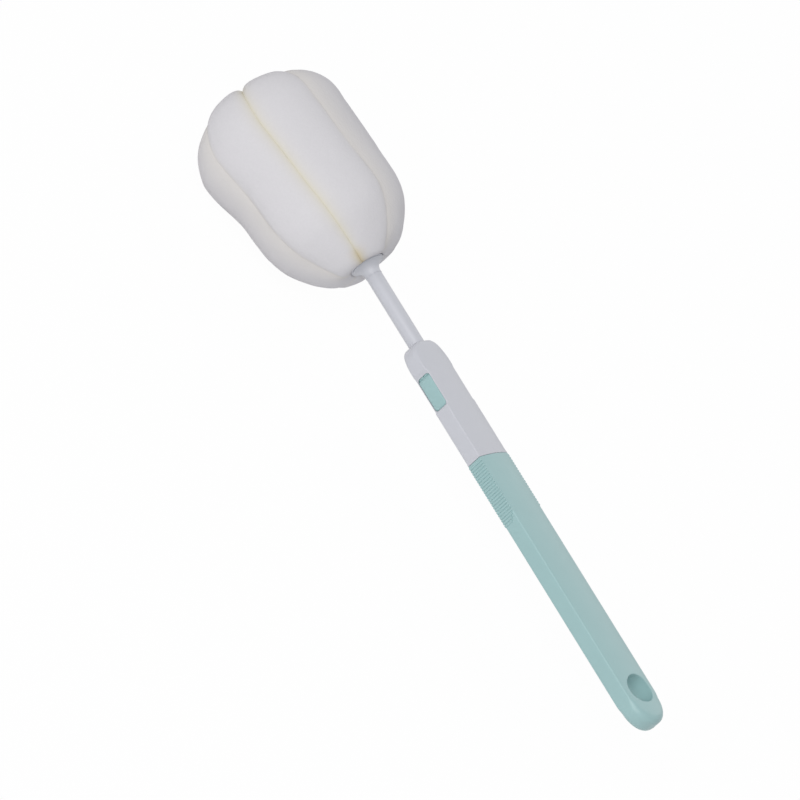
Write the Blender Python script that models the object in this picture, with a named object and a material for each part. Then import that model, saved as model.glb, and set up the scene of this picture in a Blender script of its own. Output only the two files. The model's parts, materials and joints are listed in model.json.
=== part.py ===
# Sponge bottle brush: a slim handle whose two-button connector carries a foam head.
# The brush lies along X with its foam toward +X and its broad faces up and down.
# Its origin is on the surface it lies on, below the middle of its length.
# Metres, +Z up.

import math

import bmesh
import bpy
from mathutils import Matrix, Vector

# Whole brush, 295 mm over all
touch_gap = 0.0003  # between pieces that touch
cut_overrun = 0.001  # how far a cutter reaches past what it cuts
merge_distance = 0.000001
sharp_angle = math.radians(35)  # edges steeper than this stay crisp

# Handle: a flat bar with upright narrow sides and crowned broad faces
handle_length = 0.1222
handle_width = 0.0176
handle_side_height = 0.0072
handle_crown = 0.0010
handle_edge_radius = 0.0005
handle_nose_length = 0.0042  # over which the broad faces round off at the free end
handle_nose_flat = 0.0003  # how blunt the very end is left
handle_mouth_round = 0.0003
handle_side_wall = 0.0020
handle_face_wall = 0.0012
handle_web = 0.0020  # between the hanging hole and the hollow
hang_hole_diameter = 0.0126
hang_hole_station = 0.0147
hang_hole_chamfer = 0.0004

# Grip ribs across both narrow sides of the handle
rib_count = 23
rib_pitch = 0.0012
rib_start_gap = 0.0008  # between the mouth and the first rib
rib_height = 0.0005
rib_foot_width = 0.0008
rib_crest_width = 0.0003
rib_root = 0.0004  # sunk into the side wall
rib_edge_margin = 0.0004
rib_taper_shares = (0.62, 0.76, 0.88)  # length of the last ribs, the end one first

# Socket housing on the foam head
housing_arch_rise = 0.0078
housing_top_width = 0.0068
housing_side_wall = 0.0010
housing_face_wall = 0.00035  # beside the edges, where the crown is lowest
housing_rim_round = 0.0003
socket_depth = 0.0430
window_end_wall = 0.0036  # between a window and the socket's blind end
window_length = 0.0147
window_skin = 0.0003  # left between a window and the broad faces' edges
window_edge_notch = 0.0007  # how far a window opens into the broad faces
window_corner_radius = 0.0010

# Connector plug, moulded in two halves that meet on the flat middle plane
shank_length = 0.0180
plug_tip_clearance = 0.0008
plug_well_wall = 0.0008  # between a button's well and the pocket
plug_pocket_floor = 0.0030
plug_shoulder_chamfer = 0.0004
plug_tip_chamfer = 0.0012
plug_tip_taper = 0.0003

# Release buttons
button_recess = 0.00125  # below the housing's narrow side
button_travel = 0.0012
button_plate = 0.0012
button_edge_inset = 0.0003
button_ramp_length = 0.0024
button_top_clearance = 0.0005
button_stem_length = 0.0040
button_stem_height = 0.0022
button_foot_length = 0.0068
button_foot_height = 0.0030
button_foot = 0.0007

# Latch spring: one moulded hairpin whose arms push both buttons out
spring_strip = 0.0006
spring_height = 0.0028
tooth_width = 0.0010
tooth_hold = 0.0005  # how far a tooth reaches into its window
tooth_start = 0.0004  # from the window's lower end

# Stem and the core that clamps the foam
rod_length = 0.0324  # bare rod between the housing and the base cup
stem_diameter = 0.0065
spigot_diameter = 0.0050
spigot_length = 0.0086
spigot_wall = 0.0011  # between the socket and the spigot's bore
neck_diameter = 0.0052
round_segments = 28
disc_diameter = 0.0126
disc_thickness = 0.0012
tine_width = 0.0024
tine_depth = 0.0017
tine_offset = 0.0041  # from the axis to a tine's inner face
tine_head = 0.0008
barb_reach = 0.0007
barb_inset = 0.0002  # a barb is this much smaller than its tine's tip
core_turn = math.radians(-60)  # turns the clamp so that its fold faces the button side

# Base cup: the small trumpet below the foam
cup_length = 0.0062
cup_rim_diameter = 0.0140
cup_rim_height = 0.0010
cup_foot_diameter = 0.0067
cup_flare_power = 3.2

# End clip on the tips of the tines
clip_diameter = 0.0150
clip_thickness = 0.0016
clip_chamfer = 0.0004

# Foam: three slabs pinched by the core, which spread into six lobes
foam_length = 0.080
foam_width = 0.060
foam_lower_width = 0.0575
foam_base_width = 0.0250
foam_tip_width = 0.0360
foam_base_shoulder = 0.027
foam_tip_shoulder = 0.020
foam_middle_half = 0.0020  # half the pinched middle slab's thickness at the core
foam_pocket_clearance = 0.0003
foam_tip_dimple = 0.0084
foam_crease_drop = 0.0022  # how much lower the ends lie at the creases
foam_flat_cut = 0.0005  # where the brush lies on it
foam_ring_power = 1.5  # crowds the rings toward both ends
lobe_angle = math.radians(60)
crease_depth_share = 0.42
crease_power = 8
lobe_base_shares = (1.06, 1.0, 1.0, 1.0, 1.0, 1.06)  # each lobe's spread at the base
lobe_tip_shares = (1.13, 1.0, 1.0, 0.94, 1.0, 1.13)  # and at the tip
base_shoulder_power = 2.3
tip_shoulder_power = 2.6
core_point = None  # marks an outline point that the lobes' growth doesn't move
end_drop_power = 8
lobe_steps = 14
shoulder_rings = 7

# Colours
mint = (0.34, 0.50, 0.50, 1.0)
cool_white = (0.53, 0.55, 0.60, 1.0)
foam_white = (0.70, 0.69, 0.70, 1.0)

# Places along the brush, measured from the handle's free end
housing_start = handle_length + touch_gap
socket_end = housing_start + socket_depth
housing_end = socket_end + spigot_wall + touch_gap + spigot_length
plug_tip = socket_end - plug_tip_clearance
shank_start = handle_length - shank_length
rod_start = housing_end + touch_gap
cup_start = rod_start + rod_length + touch_gap
cup_top = cup_start + cup_length
foam_start = cup_top + touch_gap
total_length = foam_start + foam_length
window_high = socket_end - window_end_wall
window_low = window_high - window_length
clip_low = total_length - foam_tip_dimple
foam_core_end = clip_low - touch_gap
clip_high = clip_low + clip_thickness
foam_upper_reach = foam_width / 2 - touch_gap

# Half sizes that several pieces share
handle_half = handle_width / 2
edge_half_depth = handle_side_height / 2
tongue_half = handle_half - housing_side_wall - touch_gap
shank_half = handle_half - handle_side_wall - touch_gap
socket_half_depth = edge_half_depth - housing_face_wall
plug_half_depth = socket_half_depth - touch_gap
shank_half_depth = edge_half_depth - handle_face_wall - touch_gap
button_face = handle_half - button_recess
button_back = button_face - button_plate
well_floor = button_back - button_travel - touch_gap
well_back = well_floor - plug_well_wall
foot_face = well_back - touch_gap
foot_back = foot_face - button_foot
arm_face = foot_back - touch_gap
arm_back = arm_face - spring_strip
spring_half_height = spring_height / 2
stem_half_height = button_stem_height / 2
foot_half_height = button_foot_height / 2
pocket_half_depth = foot_half_height + touch_gap
window_half_depth = edge_half_depth - window_skin


def station_x(station):
    return station - total_length / 2


def eased(along):
    # From 0 to 1 with a level start and end
    return along * along * (3 - 2 * along)


def lobe_reach_at(angle, reach):
    # Distance from the axis to a lobe's skin, angle being measured from the lobe's middle
    bend = abs(angle / (lobe_angle / 2)) ** crease_power
    return max(reach * (1 - crease_depth_share * bend), clip_diameter / 2 + touch_gap)


def lobe_angles():
    # Angles across one lobe, closer together beside the creases
    half = lobe_angle / 2
    return [half * math.sin(math.pi / 2 * (2 * i / lobe_steps - 1)) for i in range(lobe_steps + 1)]


def lowest_foam_reach():
    depths = []
    for lobe, share in enumerate(lobe_tip_shares):
        middle = core_turn + lobe * lobe_angle
        for angle in lobe_angles():
            radius = lobe_reach_at(angle, foam_upper_reach * share)
            depths.append(-touch_gap * math.sin(middle) - radius * math.sin(middle + angle))
    return max(depths)


axis_height = lowest_foam_reach() - foam_flat_cut


def clear_scene():
    for item in list(bpy.data.objects):
        bpy.data.objects.remove(item, do_unlink=True)


def plastic(name, colour, roughness):
    material = bpy.data.materials.new(name)
    material.use_nodes = True
    shader = material.node_tree.nodes["Principled BSDF"]
    shader.inputs["Base Color"].default_value = colour
    shader.inputs["Roughness"].default_value = roughness
    shader.inputs["Metallic"].default_value = 0
    material.diffuse_color = colour
    return material


def finish_mesh(name, shape, material):
    # The working mesh becomes an object centred on the brush's axis
    bmesh.ops.remove_doubles(shape, verts=shape.verts, dist=merge_distance)
    bmesh.ops.recalc_face_normals(shape, faces=shape.faces)
    data = bpy.data.meshes.new(name)
    shape.to_mesh(data)
    shape.free()
    data.shade_smooth()
    data.set_sharp_from_angle(angle=sharp_angle)
    piece = bpy.data.objects.new(name, data)
    bpy.context.scene.collection.objects.link(piece)
    piece.location = (0, 0, axis_height)
    if material is None:
        piece.hide_render = True
        piece.display_type = "WIRE"
    else:
        data.materials.append(material)
    return piece


def loft_into(shape, rings):
    # Rings have equal numbers of points, and the first and last are closed by a face
    loops = [[shape.verts.new(point) for point in ring] for ring in rings]
    for lower, upper in zip(loops, loops[1:]):
        for i, corner in enumerate(lower):
            j = (i + 1) % len(lower)
            shape.faces.new((corner, lower[j], upper[j], upper[i]))
    shape.faces.new(list(reversed(loops[0])))
    shape.faces.new(loops[-1])


def loft(name, rings, material=None):
    shape = bmesh.new()
    loft_into(shape, rings)
    return finish_mesh(name, shape, material)


def rectangle_ring(x, low, high):
    # A ring square to X between two corners, each given as (y, z)
    corners = ((low[0], low[1]), (high[0], low[1]), (high[0], high[1]), (low[0], high[1]))
    return [Vector((x, y, z)) for y, z in corners]


def boxes(name, corners):
    # One cutter made of separate boxes, each given by its low and high corner
    shape = bmesh.new()
    for low, high in corners:
        loft_into(shape, [rectangle_ring(x, low[1:], high[1:]) for x in (low[0], high[0])])
    return finish_mesh(name, shape, None)


def prism(name, outline, low, high, material=None):
    # An outline in X and Y that is extruded from one height to another
    rings = [[Vector((x, y, z)) for x, y in outline] for z in (low, high)]
    return loft(name, rings, material)


def lathe_rings(profile):
    # Rings around X from (station, radius) pairs
    rings = []
    for station, radius in profile:
        ring = []
        for i in range(round_segments):
            angle = 2 * math.pi * i / round_segments
            ring.append(
                Vector((station_x(station), radius * math.cos(angle), radius * math.sin(angle)))
            )
        rings.append(ring)
    return rings


def lathe_tube(name, outer, inner, material):
    # A turned piece with a bore: its skin runs up the outside and back down the inside
    rings = lathe_rings(outer + inner[::-1])
    shape = bmesh.new()
    loops = [[shape.verts.new(point) for point in ring] for ring in rings]
    for lower, upper in zip(loops, loops[1:] + loops[:1]):
        for i, corner in enumerate(lower):
            j = (i + 1) % len(lower)
            shape.faces.new((corner, lower[j], upper[j], upper[i]))
    return finish_mesh(name, shape, material)


def cut(piece, cutter, operation="DIFFERENCE"):
    change = piece.modifiers.new(cutter.name, "BOOLEAN")
    change.operation = operation
    change.solver = "EXACT"
    change.object = cutter


def turn_core(piece):
    piece.rotation_euler = (core_turn, 0, 0)


def bar_section(half_width, half_depth, crown, edge):
    # Flat narrow sides, crowned broad faces, and a small round edge between them
    crown_steps = 7
    top = []
    for quarter in range(3):
        angle = math.radians(45 * quarter)
        top.append(
            (
                half_width - edge + edge * math.cos(angle),
                half_depth - edge + edge * math.sin(angle),
            )
        )
    span = half_width - edge
    for i in range(1, crown_steps):
        y = span * (1 - 2 * i / crown_steps)
        top.append((y, half_depth + crown * (1 - (y / span) ** 2)))
    top += [(-y, z) for y, z in reversed(top[:3])]
    return top + [(-y, -z) for y, z in top]


def bar_ring(station, half_width, half_depth, crown, edge):
    x = station_x(station)
    return [Vector((x, y, z)) for y, z in bar_section(half_width, half_depth, crown, edge)]


def handle_rings():
    rings = []
    for degrees in (6, 16, 28, 40, 53, 66, 78, 90):
        angle = math.radians(degrees)
        station = handle_half * (1 - math.cos(angle))
        nose = min((station + handle_nose_flat) / handle_nose_length, 1)
        round_share = math.sqrt(1 - (1 - nose) ** 2)
        half_width = handle_half * math.sin(angle)
        half_depth = edge_half_depth * round_share
        edge = min(handle_edge_radius * (2 - round_share), half_width / 2, half_depth / 2)
        rings.append(bar_ring(station, half_width, half_depth, handle_crown * round_share, edge))
    first_x = rings[0][0].x
    for point in rings[0]:
        point.x += station_x(0) - first_x
    lip = handle_length - handle_mouth_round
    rings.append(bar_ring(lip, handle_half, edge_half_depth, handle_crown, handle_edge_radius))
    rings.append(
        bar_ring(
            handle_length,
            handle_half - handle_mouth_round,
            edge_half_depth - handle_mouth_round,
            handle_crown,
            handle_edge_radius,
        )
    )
    return rings


def rib_cutter():
    # Both rows of ribs, each rib a low ridge that runs across a narrow side
    shape = bmesh.new()
    full_half = edge_half_depth - rib_edge_margin
    for side in (-1, 1):
        for i in range(rib_count):
            middle = station_x(handle_length - rib_start_gap - rib_foot_width / 2 - i * rib_pitch)
            from_end = rib_count - 1 - i
            share = rib_taper_shares[from_end] if from_end < len(rib_taper_shares) else 1
            top = full_half * (2 * share - 1)
            rings = []
            for z in (-full_half, top):
                foot = rib_foot_width / 2
                crest = rib_crest_width / 2
                root_y = side * (handle_half - rib_root)
                skin_y = side * handle_half
                crest_y = side * (handle_half + rib_height)
                rings.append(
                    [
                        Vector((middle - foot, root_y, z)),
                        Vector((middle - foot, skin_y, z)),
                        Vector((middle - crest, crest_y, z)),
                        Vector((middle + crest, crest_y, z)),
                        Vector((middle + foot, skin_y, z)),
                        Vector((middle + foot, root_y, z)),
                    ]
                )
            loft_into(shape, rings)
    return finish_mesh("grip_rib_tool", shape, None)


def hang_hole_cutter():
    radius = hang_hole_diameter / 2
    face = edge_half_depth + handle_crown
    levels = (
        (-face - cut_overrun, radius + hang_hole_chamfer + cut_overrun),
        (-face + hang_hole_chamfer, radius),
        (face - hang_hole_chamfer, radius),
        (face + cut_overrun, radius + hang_hole_chamfer + cut_overrun),
    )
    segments = 40
    rings = []
    for z, ring_radius in levels:
        ring = []
        for i in range(segments):
            angle = 2 * math.pi * i / segments
            x = station_x(hang_hole_station) + ring_radius * math.cos(angle)
            ring.append(Vector((x, ring_radius * math.sin(angle), z)))
        rings.append(ring)
    return loft("hang_hole_tool", rings)


def make_handle(material):
    handle = loft("handle_shell", handle_rings(), material)
    cut(handle, rib_cutter(), "UNION")
    hollow_start = hang_hole_station + hang_hole_diameter / 2 + handle_web
    hollow_half = handle_half - handle_side_wall
    hollow_depth = edge_half_depth - handle_face_wall
    hollow = boxes(
        "handle_hollow_tool",
        [
            (
                (station_x(hollow_start), -hollow_half, -hollow_depth),
                (station_x(handle_length + cut_overrun), hollow_half, hollow_depth),
            )
        ],
    )
    cut(handle, hollow)
    cut(handle, hang_hole_cutter())
    return handle


def plug_half_rings():
    # The shank sits in the handle and the wider tongue in the housing
    shoulder = handle_length + touch_gap
    places = (
        (shank_start, shank_half, shank_half_depth),
        (shoulder, shank_half, shank_half_depth),
        (shoulder + plug_shoulder_chamfer, tongue_half, plug_half_depth),
        (plug_tip - plug_tip_chamfer, tongue_half, plug_half_depth),
        (plug_tip, tongue_half - plug_tip_chamfer, plug_half_depth - plug_tip_taper),
    )
    return [
        rectangle_ring(station_x(station), (-half_width, touch_gap / 2), (half_width, half_depth))
        for station, half_width, half_depth in places
    ]


def plug_pocket_corners():
    # Room for the hairpin spring, the button feet, their stems and the teeth
    spring_low = shank_start + plug_pocket_floor
    stem_half = button_stem_length / 2 + touch_gap
    stem_middle = button_stem_station()
    tooth_low = window_low + tooth_start
    pocket = (
        (station_x(spring_low), -well_back, -pocket_half_depth),
        (station_x(window_high), well_back, pocket_half_depth),
    )
    corners = [pocket]
    for side in (-1, 1):
        inner, outer = sorted((side * (well_back - touch_gap), side * handle_half))
        stem_slot = (
            (station_x(stem_middle) - stem_half, inner, -stem_half_height - touch_gap),
            (station_x(stem_middle) + stem_half, outer, stem_half_height + touch_gap),
        )
        tooth_slot = (
            (station_x(tooth_low - touch_gap), inner, -spring_half_height - touch_gap),
            (station_x(tooth_low + tooth_width + touch_gap), outer, spring_half_height + touch_gap),
        )
        corners += [stem_slot, tooth_slot]
    return corners


def plug_well_corners():
    # A full-depth well in each narrow side, where a button travels
    corners = []
    for side in (-1, 1):
        inner, outer = sorted((side * well_floor, side * handle_half))
        corners.append(
            (
                (station_x(window_low), inner, -handle_half),
                (station_x(window_high - button_top_clearance), outer, handle_half),
            )
        )
    return corners


def make_plug(material):
    front = loft("plug_front_half", plug_half_rings(), material)
    back_rings = [[Vector((p.x, -p.y, -p.z)) for p in ring] for ring in plug_half_rings()]
    back = loft("plug_back_half", back_rings, material)
    pocket = boxes("plug_pocket_tool", plug_pocket_corners()[:1])
    slots = boxes("plug_slot_tool", plug_pocket_corners()[1:])
    wells = boxes("plug_well_tool", plug_well_corners())
    for half in (front, back):
        cut(half, wells)
        cut(half, slots)
        cut(half, pocket)


def button_low():
    return window_low + tooth_start + tooth_width + touch_gap


def button_stem_station():
    return (button_low() + window_high - button_top_clearance - button_ramp_length) / 2


def make_button(name, side, material):
    # Levels run outward: foot, stem, plate, then the rounded face with its ramp
    low = button_low()
    high = window_high - button_top_clearance - touch_gap
    stem = button_stem_station()
    stem_low, stem_high = stem - button_stem_length / 2, stem + button_stem_length / 2
    foot_low, foot_high = stem - button_foot_length / 2, stem + button_foot_length / 2
    plate_half = plug_half_depth
    inset = button_edge_inset
    ramp_end = high - button_ramp_length
    levels = (
        (foot_back, foot_low, foot_high, foot_half_height),
        (foot_face, foot_low, foot_high, foot_half_height),
        (foot_face, stem_low, stem_high, stem_half_height),
        (button_back, stem_low, stem_high, stem_half_height),
        (button_back, low, high, plate_half),
        (button_back + inset, low, high, plate_half),
        (button_face - inset, low, ramp_end, plate_half),
        (button_face, low + inset, ramp_end - inset, plate_half - inset),
    )
    rings = []
    for y, start, end, half_height in levels:
        x_low, x_high = station_x(start), station_x(end)
        rings.append(
            [
                Vector((x_low, side * y, -half_height)),
                Vector((x_high, side * y, -half_height)),
                Vector((x_high, side * y, half_height)),
                Vector((x_low, side * y, half_height)),
            ]
        )
    return loft(name, rings, material)


def make_spring(material):
    # One hairpin: a round bend in the plug's foot, two arms, and a tooth on each arm
    bend_station = shank_start + plug_pocket_floor + touch_gap + arm_face
    tip = window_high - button_top_clearance - button_ramp_length
    tooth_low = window_low + tooth_start
    tooth_high = tooth_low + tooth_width
    tooth_top = handle_half - housing_side_wall + tooth_hold
    bend_steps = 8
    side_points = [
        (tip, arm_back),
        (tip, arm_face),
        (tooth_high, arm_face),
        (tooth_high, tooth_top - tooth_hold),
        (tooth_high - tooth_width / 3, tooth_top),
        (tooth_low, tooth_top),
        (tooth_low, arm_face),
    ]
    outline = list(side_points)
    for i in range(bend_steps + 1):
        angle = math.pi * i / bend_steps
        outline.append((bend_station - arm_face * math.sin(angle), arm_face * math.cos(angle)))
    outline += [(station, -y) for station, y in reversed(side_points)]
    for i in range(bend_steps + 1):
        angle = math.pi * (1 - i / bend_steps)
        outline.append((bend_station - arm_back * math.sin(angle), arm_back * math.cos(angle)))
    points = [(station_x(station), y) for station, y in outline]
    return prism("latch_spring", points, -spring_half_height, spring_half_height, material)


def housing_rings():
    # A bar like the handle that ends in a round arch
    rings = [
        bar_ring(
            housing_start,
            handle_half - housing_rim_round,
            edge_half_depth - housing_rim_round,
            handle_crown,
            handle_edge_radius,
        )
    ]
    arch_start = housing_end - housing_arch_rise
    for station in (housing_start + housing_rim_round, arch_start):
        rings.append(
            bar_ring(station, handle_half, edge_half_depth, handle_crown, handle_edge_radius)
        )
    top_half = housing_top_width / 2
    last = math.acos(top_half / handle_half)
    arch_steps = 9
    for i in range(1, arch_steps + 1):
        angle = last * i / arch_steps
        station = arch_start + housing_arch_rise * math.sin(angle) / math.sin(last)
        half_width = handle_half * math.cos(angle)
        rings.append(
            bar_ring(station, half_width, edge_half_depth, handle_crown, handle_edge_radius)
        )
    return rings


def window_cutter():
    # Both windows, open through the narrow side walls
    start = handle_half - housing_side_wall - touch_gap
    corners = []
    for side in (-1, 1):
        inner, outer = sorted((side * start, side * (handle_half + cut_overrun)))
        corners.append(
            (
                (station_x(window_low), inner, -window_half_depth),
                (station_x(window_high), outer, window_half_depth),
            )
        )
    return boxes("window_tool", corners)


def notch_cutter(name, side):
    # A shallow round-cornered notch in the broad faces beside a window
    deep = side * (handle_half - window_edge_notch)
    far = side * (handle_half + cut_overrun)
    radius = min(window_corner_radius, window_edge_notch)
    low, high = station_x(window_low), station_x(window_high)
    outline = [(low, far), (high, far)]
    corner_steps = 4
    for i in range(corner_steps + 1):
        angle = math.pi / 2 * i / corner_steps
        outline.append(
            (
                high - radius + radius * math.cos(angle),
                deep + side * radius * (1 - math.sin(angle)),
            )
        )
    for i in range(corner_steps + 1):
        angle = math.pi / 2 * (1 - i / corner_steps)
        outline.append(
            (
                low + radius - radius * math.cos(angle),
                deep + side * radius * (1 - math.sin(angle)),
            )
        )
    return prism(name, outline, -handle_half, handle_half)


def make_housing(material):
    housing = loft("socket_housing", housing_rings(), material)
    socket_half = handle_half - housing_side_wall
    socket = boxes(
        "socket_tool",
        [
            (
                (station_x(housing_start - cut_overrun), -socket_half, -socket_half_depth),
                (station_x(socket_end), socket_half, socket_half_depth),
            )
        ],
    )
    cut(housing, socket)
    cut(housing, window_cutter())
    cut(housing, notch_cutter("left_notch_tool", 1))
    cut(housing, notch_cutter("right_notch_tool", -1))
    bore_radius = spigot_diameter / 2 + touch_gap
    bore_low = housing_end - spigot_length - touch_gap
    bore = loft(
        "spigot_bore_tool",
        lathe_rings([(bore_low, bore_radius), (housing_end + cut_overrun, bore_radius)]),
    )
    cut(housing, bore)
    return housing


def make_stem(material):
    # Turned spigot, rod, neck and disc, with two flat tines standing on the disc
    neck_start = rod_start + rod_length
    disc_start = cup_top - disc_thickness
    profile = [
        (housing_end - spigot_length, spigot_diameter / 2),
        (rod_start, spigot_diameter / 2),
        (rod_start, stem_diameter / 2),
        (neck_start, stem_diameter / 2),
        (neck_start, neck_diameter / 2),
        (disc_start, neck_diameter / 2),
        (disc_start, disc_diameter / 2),
        (cup_top, disc_diameter / 2),
    ]
    stem = loft("stem_rod", lathe_rings(profile), material)
    tine_half = tine_width / 2
    tip = clip_high + touch_gap + tine_head
    corners = []
    for side in (-1, 1):
        inner, outer = sorted((side * tine_offset, side * (tine_offset + tine_depth)))
        corners.append(
            (
                (station_x(disc_start + disc_thickness / 2), -tine_half, inner),
                (station_x(tip), tine_half, outer),
            )
        )
    tines = boxes("tine_tool", corners)
    barb_corners = []
    for side in (-1, 1):
        inner, outer = sorted(
            (
                side * (tine_offset + tine_depth / 2),
                side * (tine_offset + tine_depth + barb_reach),
            )
        )
        barb_corners.append(
            (
                (station_x(clip_high + touch_gap), -tine_half + barb_inset, inner),
                (station_x(tip - barb_inset), tine_half - barb_inset, outer),
            )
        )
    barbs = boxes("barb_tool", barb_corners)
    cut(stem, tines, "UNION")
    cut(stem, barbs, "UNION")
    for piece in (stem, tines, barbs):
        turn_core(piece)
    return stem


def make_cup(material):
    # The outside flares from the rod's width to the rim, and the rim houses the disc
    rim_low = cup_top - cup_rim_height
    flare_steps = 7
    outer = []
    for i in range(flare_steps + 1):
        along = i / flare_steps
        station = cup_start + (rim_low - cup_start) * along
        foot, rim = cup_foot_diameter / 2, cup_rim_diameter / 2
        outer.append((station, foot + (rim - foot) * along**cup_flare_power))
    outer.append((cup_top, cup_rim_diameter / 2))
    bore = neck_diameter / 2 + touch_gap
    recess = disc_diameter / 2 + touch_gap
    seat = cup_top - disc_thickness - touch_gap
    inner = [(cup_start, bore), (seat, bore), (seat, recess), (cup_top, recess)]
    return lathe_tube("base_cup", outer, inner, material)


def make_clip(material):
    radius = clip_diameter / 2
    profile = [
        (clip_low, radius),
        (clip_high - clip_chamfer, radius),
        (clip_high, radius - clip_chamfer),
    ]
    clip = loft("end_clip", lathe_rings(profile), material)
    slot_half = tine_width / 2 + touch_gap
    corners = []
    for side in (-1, 1):
        inner, outer = sorted(
            (side * (tine_offset - touch_gap), side * (tine_offset + tine_depth + touch_gap))
        )
        corners.append(
            (
                (station_x(clip_low - cut_overrun), -slot_half, inner),
                (station_x(clip_high + cut_overrun), slot_half, outer),
            )
        )
    slots = boxes("clip_slot_tool", corners)
    cut(clip, slots)
    for piece in (clip, slots):
        turn_core(piece)
    return clip


def foam_profile():
    # Pairs of station and lobe reach, from the base's seat over both shoulders to the dimple
    seat_reach = clip_diameter / 2 + touch_gap
    lower_reach = foam_lower_width / 2
    base_reach = foam_base_width / 2
    tip_reach = foam_tip_width / 2
    pairs = [(foam_start, seat_reach)]
    for i in range(shoulder_rings + 1):
        along = (i / shoulder_rings) ** foam_ring_power
        share = 1 - (1 - along) ** base_shoulder_power
        station = foam_start + foam_base_shoulder * along
        pairs.append((station, base_reach + (lower_reach - base_reach) * share))
    middle_start = foam_start + foam_base_shoulder
    middle_end = total_length - foam_tip_shoulder
    middle_rings = 4
    for i in range(1, middle_rings):
        along = i / middle_rings
        swell = eased(along)
        station = middle_start + (middle_end - middle_start) * along
        pairs.append((station, lower_reach + (foam_upper_reach - lower_reach) * swell))
    for i in range(shoulder_rings + 1):
        along = (1 - i / shoulder_rings) ** foam_ring_power
        share = 1 - (1 - along) ** tip_shoulder_power
        station = total_length - foam_tip_shoulder * along
        pairs.append((station, tip_reach + (foam_upper_reach - tip_reach) * share))
    pairs.append((foam_core_end, seat_reach))
    return pairs


def lobe_points(lobe, reach, spread):
    # One lobe's skin as (y, z, how near the crease), pushed out so that lobes keep their gap
    middle = lobe * lobe_angle
    points = []
    for angle in lobe_angles():
        radius = lobe_reach_at(angle, reach * spread)
        y = touch_gap * math.cos(middle) + radius * math.cos(middle + angle)
        z = touch_gap * math.sin(middle) + radius * math.sin(middle + angle)
        points.append((y, z, abs(angle / (lobe_angle / 2))))
    return points


def core_corner(lobe, side, height):
    # Where a lobe's flat flank meets the slab's pinched part at a given height
    middle = lobe * lobe_angle
    edge = middle + side * lobe_angle / 2
    along = (height - touch_gap * math.sin(middle)) / math.sin(edge)
    return (touch_gap * math.cos(middle) + along * math.cos(edge), height, core_point)


def fold_pocket():
    # The closed fold between two lobes of one slab, widened around its tine
    slit = touch_gap * math.cos(lobe_angle)
    half = tine_width / 2 + foam_pocket_clearance
    low = tine_offset - foam_pocket_clearance
    high = tine_offset + tine_depth + foam_pocket_clearance
    right = [(slit, high, core_point), (half, high, core_point), (half, low, core_point)]
    return right + [(-y, z, near) for y, z, near in reversed(right)]


def folded_slab_outline(reach, spreads):
    # Lobes 1 and 2, with the fold between them and the pinched part below
    floor = foam_middle_half + touch_gap
    outline = lobe_points(1, reach, spreads[1]) + fold_pocket() + lobe_points(2, reach, spreads[2])
    return outline + [core_corner(2, 1, floor), core_corner(1, -1, floor)]


def middle_slab_outline(reach, spreads):
    # Lobes 0 and 3, joined by a flat pinched web
    outline = lobe_points(0, reach, spreads[0])
    outline += [core_corner(0, 1, foam_middle_half), core_corner(3, -1, foam_middle_half)]
    outline += lobe_points(3, reach, spreads[3])
    return outline + [core_corner(3, 1, -foam_middle_half), core_corner(0, -1, -foam_middle_half)]


def lobe_spreads(station, first):
    # How far each lobe stands out at a station, the slab's first lobe first
    along = max(0, min((station - foam_start) / (foam_length - foam_tip_shoulder), 1))
    swell = eased(along)
    pairs = list(zip(lobe_base_shares, lobe_tip_shares))
    return [base + (tip - base) * swell for base, tip in pairs[first:] + pairs[:first]]


def make_slab(name, outline_at, first, material):
    # Core points stop at the clamp's upper end while the lobes swell past it
    turn = Matrix.Rotation(core_turn + first * lobe_angle, 3, "X")
    centre = foam_start + foam_length / 2
    rings = []
    for station, reach in foam_profile():
        end_share = abs((station - centre) / (foam_length / 2)) ** end_drop_power
        ring = []
        for y, z, near in outline_at(reach, lobe_spreads(station, first)):
            place = station
            if near is core_point:
                place = min(station, foam_core_end)
            else:
                drop = foam_crease_drop * near**crease_power * end_share
                place += drop if station < centre else -drop
            ring.append(turn @ Vector((station_x(place), y, z)))
        rings.append(ring)
    shape = bmesh.new()
    loft_into(shape, rings)
    rest_flat_into(shape)
    return finish_mesh(name, shape, material)


def rest_flat_into(shape):
    # The foam is cut flat by the surface that the brush lies on
    bmesh.ops.remove_doubles(shape, verts=shape.verts, dist=merge_distance)
    result = bmesh.ops.bisect_plane(
        shape,
        geom=shape.verts[:] + shape.edges[:] + shape.faces[:],
        dist=merge_distance,
        plane_co=(0, 0, -axis_height),
        plane_no=(0, 0, -1),
        clear_outer=True,
    )
    rim = [item for item in result["geom_cut"] if isinstance(item, bmesh.types.BMEdge)]
    bmesh.ops.holes_fill(shape, edges=rim)


def make_foam(material):
    make_slab("foam_front", folded_slab_outline, 0, material)
    make_slab("foam_middle", middle_slab_outline, 0, material)
    make_slab("foam_back", folded_slab_outline, 3, material)


def main():
    clear_scene()
    green = plastic("mint_plastic", mint, 0.34)
    white = plastic("white_plastic", cool_white, 0.32)
    foam = plastic("foam", foam_white, 0.95)
    make_handle(green)
    make_plug(green)
    make_spring(green)
    make_button("button_left", 1, green)
    make_button("button_right", -1, green)
    make_housing(white)
    make_stem(white)
    make_cup(white)
    make_clip(white)
    make_foam(foam)


main()
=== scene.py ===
# Looks of the sponge bottle brush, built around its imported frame.
# The brush lies along X with its foam toward +X, and its broad faces look up and down.

import json
import math

import bmesh
import bpy
import numpy as np
from mathutils import Matrix, Vector, geometry


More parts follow.
